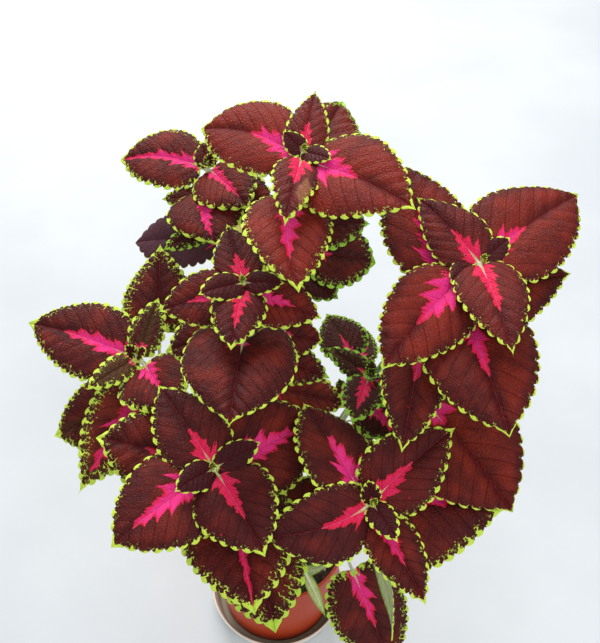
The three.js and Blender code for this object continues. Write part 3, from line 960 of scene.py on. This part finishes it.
# %% Where on a leaf a point lies
class LeafPaint(Paint):
    """The paint of a leaf, with the places that its face and its underside both need."""

    def __init__(self, name):
        super().__init__(name)
        self.along, self.edge = self.fact("along"), self.fact("edge")
        self.length, self.seed = self.fact("length"), self.fact("seed")
        across = self.fact("across")
        self.off = abs(across)                      # distance from the midrib
        self.side = across.rise(-0.0005, 0.0005)    # 0 on one half of the blade, 1 on the other
        self.flat = self.vector(self.along * self.length, across * self.length, self.seed * 53)
        self.vein = vein_coordinate(self.along, across)
        side_vein = self.vein * VEINS + self.side * VEIN_SHIFT
        self.from_vein = abs((side_vein + 0.5).fraction() - 0.5) * self.length / VEINS    # in mm


print("side veins leave the midrib every", round(80 / VEINS, 1), "mm on a blade 80 mm long")


# %% The splash
SPLASH_WIDTH = 0.17                           # half of its width at the base, in blade lengths
SPLASH_TEETH = 6.5                            # on each side


def splash_of(leaf):
    """How pink a point is, and how far it lies within the splash's border.

    The half width is (1 - gone)^0.75 times its width at the base, where gone is the vein coordinate
    over the splash's length. Teeth of uneven strength and ragged noise break the border up. Rare
    pink dots lie beyond it."""
    off, side, seed, vein = leaf.off, leaf.side, leaf.seed, leaf.vein
    lobe = (leaf.along - 1.2 * off) * SPLASH_TEETH + side * 0.45 + seed * 7
    spike = (1 - abs(lobe.fraction() - 0.5) * 2) ** 1.2
    draw = leaf.vector(lobe.floor() * 0.7, side * 5 + seed * 31)
    strength = leaf.noise(draw, 1.0, 1.0).rise(0.3, 0.7)
    ragged = leaf.noise(leaf.vector(vein * 34, off * 10, seed * 17 + side * 3), 1.0, 3.0, 0.6)
    gone = vein / leaf.fact("splash")
    fade = gone.rise(-0.45, 0.12) * (1 - gone).most(0) ** 0.75
    room = fade * SPLASH_WIDTH * leaf.fact("flame")
    within = room * (0.58 + spike * (0.1 + strength * 0.7) + (ragged - 0.5) * 1.2) - off
    near, tint = (leaf.cells(leaf.flat, 0.11, output=name) for name in ("Distance", "Color"))
    rare = leaf.node("ShaderNodeSeparateColor", None, {0: tint})
    dots = rare.rise(0.9, 0.91) * (1 - near.rise(0.08, 0.12)) * (1 - gone * 0.5)
    return within.rise(-0.003, 0.005).most(dots), within


# %% The lime green margin
def lime_of(leaf, fine):
    """How lime green a point is: a bead on each tooth, torn at its border, the tip, and specks."""
    tooth, width, tip = leaf.fact("tooth"), leaf.fact("lime"), leaf.fact("tip")
    draw = leaf.vector(tooth.floor() * 0.7, leaf.side * 7 + leaf.seed * 57)
    each = leaf.noise(draw, 1.0, 1.0).rise(0.3, 0.7)
    torn = leaf.noise(leaf.flat, 0.45, 3.0, 0.6) - 0.5
    bead = (((tooth - 0.5) * (2 * math.pi)).cos() * 0.5 + 0.5) ** 0.7
    beaded = width * (bead * (1.3 + each * 1.1) - 0.35 + torn * 2.4)
    deep = beaded * (1 - tip) + width * tip * (1 + torn * 1.5)
    inwards = (leaf.edge / width).rise(0.8, 3.8)
    speck = (torn + fine * 0.6 - 0.1 - inwards * 0.3 + leaf.fact("shade") * 0.04).rise(0, 0.05)
    return (deep - leaf.edge).rise(-0.08, 0.12).most(speck * (1 - leaf.fact("youth")))


# %% The maroon, the pink and the green
DARK_MAROON, WARM_MAROON = colour(76, 15, 14), colour(143, 40, 24)
YOUNG_LEAF, SHADED_LEAF, DUSKY_LEAF = colour(70, 14, 20), colour(42, 16, 14), colour(92, 54, 66)
VEIN_SHADOW, RED_MIDRIB = colour(42, 6, 10), colour(128, 36, 50)
OLIVE_STAIN, PAINTED_GLOSS, WITHERED = colour(84, 84, 30), colour(196, 140, 92), colour(252, 240, 160)


def maroon_of(leaf, grain, line, rib, net, ridge):
    """The maroon: warm on the flanks and darker when young. Painted light shapes it too: painted
    sunlight warms leaves high in the plant, a painted highlight lightens the quilted ridges, and
    painted shade darkens the vein grooves and the leaves deep in the plant.

    olive stains it. tan is 1 on a leaf with a painted highlight, a golden-brown gloss on one flank,
    4 on a withered one, -1 on a dusky one, and 0 on all others."""
    youth, shade, tan = leaf.fact("youth"), leaf.fact("shade"), leaf.fact("tan")
    wide = leaf.noise(leaf.flat, 0.05)
    flank = (leaf.off * leaf.length).rise(0.5, 8.0) * leaf.edge.rise(0.5, 8.0)
    # painted light: sun warms leaves high in the plant, a painted sunlight, and ridge lightens the
    # quilted ridges, a painted highlight; wide and flank are the leaf's own tone
    tone = wide + flank * 0.25 + ridge * 0.35 + leaf.fact("sun") * 0.4 - 0.65
    maroon = leaf.mix(tone.rise(0.0, 0.75), DARK_MAROON, WARM_MAROON)
    maroon = leaf.mix((youth * 1.5).least(0.85), maroon, YOUNG_LEAF)
    # painted shade in the vein grooves and along the net of small veins
    maroon = leaf.mix(line * 0.4 + (1 - net.rise(0.02, 0.1)) * 0.25, maroon, VEIN_SHADOW)
    # painted shade: leaves low in the plant are darkened, as in the shadow of the leaves above
    maroon = leaf.mix(shade * 0.5, maroon, SHADED_LEAF)
    maroon = leaf.mix(rib * 0.35, maroon, RED_MIDRIB)
    stained = (wide + grain * 0.5 - flank * 0.5 - 0.3).rise(0, 0.35) * leaf.fact("olive")
    maroon = leaf.mix(stained, maroon, OLIVE_STAIN)
    maroon = leaf.mix((tan * -0.85).most(0), maroon, DUSKY_LEAF)
    # painted highlight: a golden-brown gloss patch on one flank of a leaf whose tan is 1
    spot = 1 - (abs(leaf.along - 0.56) * 0.7 + abs(leaf.off - 0.12) * 1.8).rise(0.0, 0.22)
    painted_gloss = (leaf.side * spot + (tan - 1) * 2).rise(0, 0.5) * tan.most(0).least(1)
    maroon = leaf.mix(painted_gloss * (grain * 0.7 + 0.1) * 0.8, maroon, PAINTED_GLOSS)
    return leaf.mix((tan - 2).rise(0, 1) * 0.9, maroon, WITHERED)


def pink_of(leaf, within, grain, line, rib):
    """The pink of the splash: hot pink in its heart, which a young leaf lacks, else crimson."""
    heart = (within / 0.04).rise(0, 1) * (1 - leaf.fact("youth") * 3).most(0)
    pink = leaf.mix(heart, colour(228, 22, 56), colour(246, 48, 140))
    pink = leaf.mix((grain - 0.45).rise(0, 0.3) * 0.35, pink, colour(250, 96, 160))
    pink = leaf.mix(line * 0.3, pink, colour(190, 10, 60))
    return leaf.mix(rib * 0.3, pink, colour(244, 150, 186))


def green_of(leaf, fine):
    """The lime green of the margin, duller and bluer in the shade."""
    green = leaf.mix(leaf.fact("shade"), colour(216, 244, 78), colour(108, 188, 38))
    return leaf.mix(fine.rise(-0.1, 0.3) * 0.5, green, colour(234, 252, 138))


# %% The face of a leaf
def leaf_face():
    """The painted face: maroon, splash, lime margin, veins, and the quilted skin."""
    leaf = LeafPaint("coleus leaf face")
    grain = leaf.noise(leaf.flat, 1.1, 4.0, 0.6)
    fine = leaf.noise(leaf.flat, 2.2) - 0.5
    swell = leaf.vector(leaf.vein * leaf.length * 0.5, leaf.off * leaf.length * 0.16,
                        leaf.seed * 53)
    ridge = leaf.noise(swell, 1.0, 3.0)
    net = leaf.cells(leaf.flat, 0.45, "DISTANCE_TO_EDGE")
    line = (1 - leaf.from_vein.rise(0.12, 0.6)) * leaf.edge.rise(0.5, 2.5)
    rib = 1 - (leaf.off * leaf.length).rise(0.12, 0.5)
    splash, within = splash_of(leaf)
    root = 1 - (leaf.off * leaf.length - 1.3 + leaf.along * 8).rise(-0.2, 0.3)

    skin = leaf.mix(splash, maroon_of(leaf, grain, line, rib, net, ridge),
                    pink_of(leaf, within, grain, line, rib))
    skin = leaf.mix(root * 0.8, skin, colour(236, 222, 170))
    skin = leaf.mix(lime_of(leaf, fine), skin, green_of(leaf, fine))
    # painted light: the withered leaf glows faintly, so that it looks lit though it lies in the
    # shade of the leaves above
    glow = leaf.mix((leaf.fact("tan") - 2).rise(0, 1), colour(0, 0, 0), colour(250, 236, 150))
    quilt = net.rise(0.0, 0.3) * 0.5 + ridge * 0.6 + grain * 0.35 - line * 0.6 - rib * 0.6
    return leaf.surface(
        Base_Color=skin,
        Roughness=0.48 + grain * 0.12,
        Specular_IOR_Level=0.2,
        Emission_Color=glow,
        Emission_Strength=0.3,
        Normal=leaf.bump(quilt, 0.9 * MM, 0.7))


# %% [markdown]
# ## The underside and the stalks
# The underside is pale grey-green, flushed with maroon between its raised veins. Stalks and stems
# are pale green, creamier on young parts, with maroon freckles towards the foot of the plant.

# %% The underside of a leaf, and the stems
FUZZ = {"Sheen_Weight": 0.15, "Sheen_Roughness": 0.5}    # short hairs, too fine to model


def leaf_under():
    """Pale grey-green with a raised net of veins and a maroon flush."""
    leaf = LeafPaint("coleus leaf underside")
    raised = 1 - leaf.from_vein.rise(0.15, 0.7)
    net = 1 - leaf.cells(leaf.flat, 0.5, "DISTANCE_TO_EDGE").rise(0.02, 0.12)
    flush = leaf.noise(leaf.flat, 0.07, 3.0, 0.6).rise(0.45, 0.65)
    skin = leaf.mix(flush * 0.3 + leaf.fact("shade") * 0.05,
                    colour(200, 212, 142), colour(150, 104, 92))
    skin = leaf.mix(raised * 0.7 + net * 0.2, skin, colour(232, 236, 196))
    skin = leaf.mix(1 - leaf.edge.rise(0.6, 1.6), skin, colour(150, 190, 80))
    return leaf.surface(Base_Color=skin, Roughness=0.62 + 0.08 * net, **FUZZ,
                        Normal=leaf.bump(raised + net * 0.4, 0.5 * MM, 0.7))


def stem_skin():
    """Pale green, creamy where young, freckled with maroon. On a tube, along is in mm."""
    paint = Paint("coleus stem")
    place = paint.place()
    youth = paint.fact("youth")
    streak = paint.noise(paint.vector(paint.fact("along") * 0.02, paint.fact("seed") * 9), 1.0)
    freckle = paint.noise(place, 900, 3, 0.6).rise(0.56, 0.66)
    green = paint.mix((youth + streak - 0.5).rise(0, 1),
                      colour(132, 152, 92), colour(236, 234, 200))
    green = paint.mix(freckle * (1 - youth) * 0.7, green, colour(112, 58, 58))
    return paint.surface(Base_Color=green, Roughness=0.45 + 0.1 * freckle, **FUZZ,
                         Normal=paint.bump(paint.noise(place, 1500), 0.2 * MM, 0.5))


foliage_paint = [leaf_face(), leaf_under(), stem_skin()]


# %% [markdown]
# ## The looks of each leaf
# A leaf's looks follow from its age and place. The youngest are nearly black with hardly any
# splash, those high in the plant are warmer with painted sunlight, and those deep in the plant are
# darker with painted shade and greener at the margin. Real leaves vary beyond any rule, so a few
# have looks of their own.

# %% Looks of their own
# By stem: what all of its leaves share, then single leaves by (distance below the tip, index).
OWN_LOOKS = {
    "crown": {
        (4, 0): dict(end=1.15, splash=0.45, tan=1.0),
        (4, 1): dict(end=1.15, splash=0.45, flame=0.7),
        (8, 0): dict(splash=0.5, flame=1.0, end=0.7), (8, 1): dict(splash=0.46, flame=1.0),
        (30, 0): dict(splash=0.72, flame=0.85),
        (30, 1): dict(shade=0.6, lime=1.8, splash=0.05, quilt=1.6),
        (60, 0): dict(shade=0.8, lime=1.8, splash=0.1),
        (78, 0): dict(shade=0.7, lime=2.3, splash=0.35, end=0.7),
        (92, 0): dict(shade=0.9, lime=1.6, splash=0.1),
    },
    "left_top": {
        "all": dict(margin=1.2),
        (1, 0): dict(lime=2.2), (1, 1): dict(lime=2.2),
        (4, 0): dict(youth=0.1, splash=0.75, flame=0.8),
        (6, 0): dict(splash=0.98, end=0.72, flame=0.7),
        (20, 0): dict(splash=0.85, flame=1.0, end=0.8, lobes=0.42),
        (20, 1): dict(tan=4.0, lime=0.02, splash=0.02, width=0.12, scallop=0.2),
        (30, 0): dict(shade=0.4, lime=1.6, splash=0.1),
        (44, 0): dict(shade=0.6, lime=1.8, splash=0.1),
        (50, 0): dict(shade=0.6, lime=1.8, splash=0.1),
        (66, 0): dict(splash=0.05, tan=-1.0, lime=0.2, end=0.7, quilt=0.3),
    },
    "middle": {
        (4, 0): dict(splash=0.45, flame=0.75, end=1.2), (4, 1): dict(splash=0.7, flame=0.9),
        (11, 0): dict(splash=0.65), (11, 1): dict(splash=0.62),
        (34, 0): dict(splash=0.06, stalk=0.32, width=0.56, lobes=1.1, quilt=1.6, lime=0.75),
        (48, 1): dict(lime=1.8, splash=0.1), (70, 0): dict(shade=0.5, lime=1.5),
        (104, 0): dict(splash=0.15, sun=0.4),
    },
    "right": {
        "all": dict(margin=0.6),
        (3, 0): dict(splash=0.45, end=1.1, flame=0.7),
        (3, 1): dict(splash=0.58, end=1.15, flame=0.7),
        (8, 0): dict(youth=1.0, splash=0.02, slope=22, lime=2.4, width=0.34),
        (8, 1): dict(youth=0.6, splash=0.5), (13, 0): dict(splash=0.58, flame=1.0),
        (13, 1): dict(splash=0.45, flame=0.8), (34, 0): dict(splash=0.6, flame=0.8),
        (116, 0): dict(splash=0.2, sun=0.4, lime=0.8),
    },
    "left": {
        "all": dict(margin=1.5),
        (4, 0): dict(lime=1.8, youth=0.1, splash=0.2, olive=0.3),
        (4, 1): dict(lime=1.8, youth=0.1, splash=0.15, olive=0.3),
        (8, 0): dict(splash=0.65, flame=0.75), (8, 1): dict(lime=1.6, flame=1.0),
        (30, 0): dict(lime=1.9, splash=0.05, end=1.2),
        (30, 1): dict(lime=1.8, end=1.35, olive=0.15, splash=0.8, flame=0.8),
        (50, 0): dict(lime=1.5, olive=0.15, width=0.45),
    },
    "inner": {
        "all": dict(shade=0.75, lime=2.0, olive=0.12),
        (4, 0): dict(splash=0.25, flame=0.5), (4, 1): dict(splash=0.75, flame=1.0),
        (10, 0): dict(splash=0.7, flame=1.0), (10, 1): dict(splash=0.5, flame=0.45),
        (26, 0): dict(splash=0.8, flame=1.1), (45, 0): dict(splash=0.7, flame=1.0),
    },
    "front_left": {
        (4, 0): dict(splash=0.42, flame=0.7), (4, 1): dict(splash=0.6, flame=0.8),
        (12, 0): dict(splash=0.7, flame=1.1), (12, 1): dict(splash=0.78, flame=1.0),
        (34, 0): dict(lime=1.9, splash=0.98, flame=0.4),
        (50, 0): dict(lime=1.7, splash=0.6, flame=0.6), (76, 0): dict(lime=3.0, splash=0.1),
    },
    "front_right": {
        (1, 0): dict(slope=52, splash=0.3, lime=1.6), (1, 1): dict(lime=1.6),
        (4, 0): dict(splash=0.46, flame=0.7), (4, 1): dict(splash=0.48, end=1.1, flame=0.75),
        (11, 0): dict(splash=0.58, flame=1.1), (34, 0): dict(lime=1.9, splash=0.66, flame=0.7),
        (62, 0): dict(scallop=0.15), (90, 0): dict(splash=0.56, lime=1.8, flame=0.6),
    },
    "low_front": {
        (20, 0): dict(scallop=0.15), (90, 0): dict(scallop=0.15),
    },
}
print("leaves and stems with looks of their own:", sum(map(len, OWN_LOOKS.values())))


# %% The looks of any leaf
BUD_BELOW = 0.5                               # how far below the tip the bud's two leaves stand


def looks_of(name, below, index, reach, height, chance):
    """The looks of one leaf from its age and place, with a little chance.

    youth, shade, sun and olive run from 0 to 1. splash is the splash's length as a share of the
    blade, flame its width, and lime the width of the green margin, which covers the whole of a bud.
    end says how fast the blade narrows to its point, lobes how far it reaches back past its base,
    and quilt and scallop how strong its relief and its teeth are."""
    # shade grows towards the foot of the plant: it darkens a leaf with painted shade and widens its
    # green margin
    shade = float(np.clip((300 - height) / 130, 0, 1))
    looks = {
        "seed": chance.uniform(),
        "youth": 1.0 if below < 3 and reach < 45 else 0.25 if below < 6 else 0.0,
        "shade": shade,
        # painted sunlight: leaves high in the plant are warmer, as if the sun shone through them
        "sun": float(np.clip((height - 400) / 60, 0, 0.8)),
        "splash": chance.uniform(0.45, 0.62) if below > 2 else 0.02,
        "lime": chance.uniform(1.0, 1.35) if below > BUD_BELOW else 12.0,
        "quilt": chance.uniform(0.7, 1.2),
        "end": chance.uniform(0.85, 1.0),
        "flame": chance.uniform(0.75, 1.0),
        "lobes": 0.16, "tan": 0.0, "olive": 0.0, "scallop": 1.0, "margin": 1.0,
    }
    looks["lime"] *= 1 + 0.4 * float(np.clip((below - 40) / 60, 0, 1)) + 0.4 * shade
    own = OWN_LOOKS.get(name, {})
    looks.update(own.get("all", {}))
    looks.update(own.get((below, index), {}))
    looks["lime"] *= looks["margin"]
    return looks


# %% [markdown]
# ## Growing the plant
# Each stem with its leaves is one piece, as each is one solid in CAD. The tip of a stem is a bud:
# two upright little leaves that are still folded together.

# %% Leafy stems
BUD_LEAF = [7, 66, 5, 0.36]                   # reach, slope, droop and width
SHARP = 55                                    # an edge is sharp where faces meet at more degrees


def grow_leaf(piece, root, row, order, below, looks, chance):
    """Add one leaf with its stalk to a piece. order is its node's place in the row of nodes."""
    heading, reach, slope, droop = row[:4]
    width = row[4] if len(row) > 4 else DEFAULT_WIDTH
    stalk = row[5] if len(row) > 5 else min(0.03 + 0.03 * (order - 1), 0.2)
    roll, bow = (list(row[6:]) + [0, 0])[:2]
    bend = Bend(root, heading, reach, looks.get("slope", slope), droop, roll, bow)
    leaf = {"reach": reach, "width": looks.get("width", width),
            "stalk": max(looks.get("stalk", stalk), 0.03)}
    piece.add(*blade(bend, leaf, looks, chance))
    points, faces, along = stalk_tube(bend, leaf)
    piece.add(points, faces, STALK, {"youth": np.clip(1 - below / 300, 0.7, 1), "along": along,
                                     "seed": looks["seed"]})


def leafy_stem(name, foot, tip, nodes, seed):
    """One stem with every leaf on it."""
    chance = np.random.default_rng(seed)
    line, below = stem_line(foot, tip)
    piece = Collected()
    points, faces, angle = stem_tube(line, below, nodes)
    piece.add(points, faces, STALK, {"youth": np.repeat(np.clip(1 - below / 120, 0, 1), STEM_SIDES),
                                     "along": np.repeat(below, STEM_SIDES), "seed": angle})
    across = nodes[0][1][0] + 90
    bud = [BUD_BELOW, [across, *BUD_LEAF], [across + 180, *BUD_LEAF]]
    for order, (distance, *leaves) in enumerate([bud] + nodes):
        root = point_below(line, below, distance)
        for index, row in enumerate(leaves):
            looks = looks_of(name, distance, index, row[1], root[2], chance)
            grow_leaf(piece, root, row, order, distance, looks, chance)
    return piece.finish(f"foliage_{name}", foliage_paint, f"stem_{name}", sharp=SHARP)


foliage = [leafy_stem(*stem, seed=100 + i) for i, stem in enumerate(STEMS)]


# %% [markdown]
# ## Floor and light
# The plant stands on a plain pale floor. A very wide soft light behind and above it is the sky of a
# bright room, so the leaves' halves that face away shine with a cool sheen, and a weaker one in
# front opens the shadows.

# %% The floor
GROUND_REACH = 6.0


def floor_cloth():
    """A pale matt floor, with the faintest mottle."""
    paint = Paint("pale floor")
    place = paint.place()
    cloud = paint.noise(place, 5, 3).rise(0.3, 0.7)
    return paint.surface(Base_Color=paint.mix(cloud, colour(213, 217, 222), colour(221, 225, 229)),
                         Roughness=0.9, Specular_IOR_Level=0.2,
                         Normal=paint.bump(paint.noise(place, 30, 3), 1 * MM, 0.3))


floor_mesh = bpy.data.meshes.new("floor")
floor_mesh.from_pydata([(x * GROUND_REACH, y * GROUND_REACH, 0)
                        for x, y in ((-1, -1), (1, -1), (1, 1), (-1, 1))], [], [(0, 1, 2, 3)])
floor_mesh.materials.append(floor_cloth())
floor = bpy.data.objects.new("floor", floor_mesh)
bpy.context.collection.objects.link(floor)
print("the floor is", 2 * GROUND_REACH, "metres wide")


# %% Lights and surroundings
def soft_light(name, place, target, size, power, tint):
    """A square soft light that faces a point."""
    light = bpy.data.lights.new(name, "AREA")
    light.size, light.energy, light.color = size, power, tint
    lamp = bpy.data.objects.new(name, light)
    lamp.location = place
    way = np.array(target) - np.array(place)
    lamp.rotation_euler = (math.atan2(math.hypot(way[0], way[1]), -way[2]), 0,
                           math.atan2(way[1], way[0]) - math.pi / 2)
    bpy.context.collection.objects.link(lamp)
    print(f"{name}: {power} watts")


soft_light("sky behind", (-0.3, 1.5, 1.7), (0, 0.2, 0.3), 1.4, 43, (1.0, 0.99, 0.97))
soft_light("room in front", (0.6, -1.2, 1.6), (0, 0, 0.3), 1.4, 15, (0.95, 0.97, 1.0))

world = bpy.data.worlds.new("bright room")
bpy.context.scene.world = world
world.use_nodes = True
sky = world.node_tree.nodes["Background"]
sky.inputs["Color"].default_value = (0.94, 0.965, 1.0, 1.0)
sky.inputs["Strength"].default_value = 0.45


# %% [markdown]
# ## The end
# A dressed part must not outgrow its CAD frame, because a shelf or a box is planned from the frame.
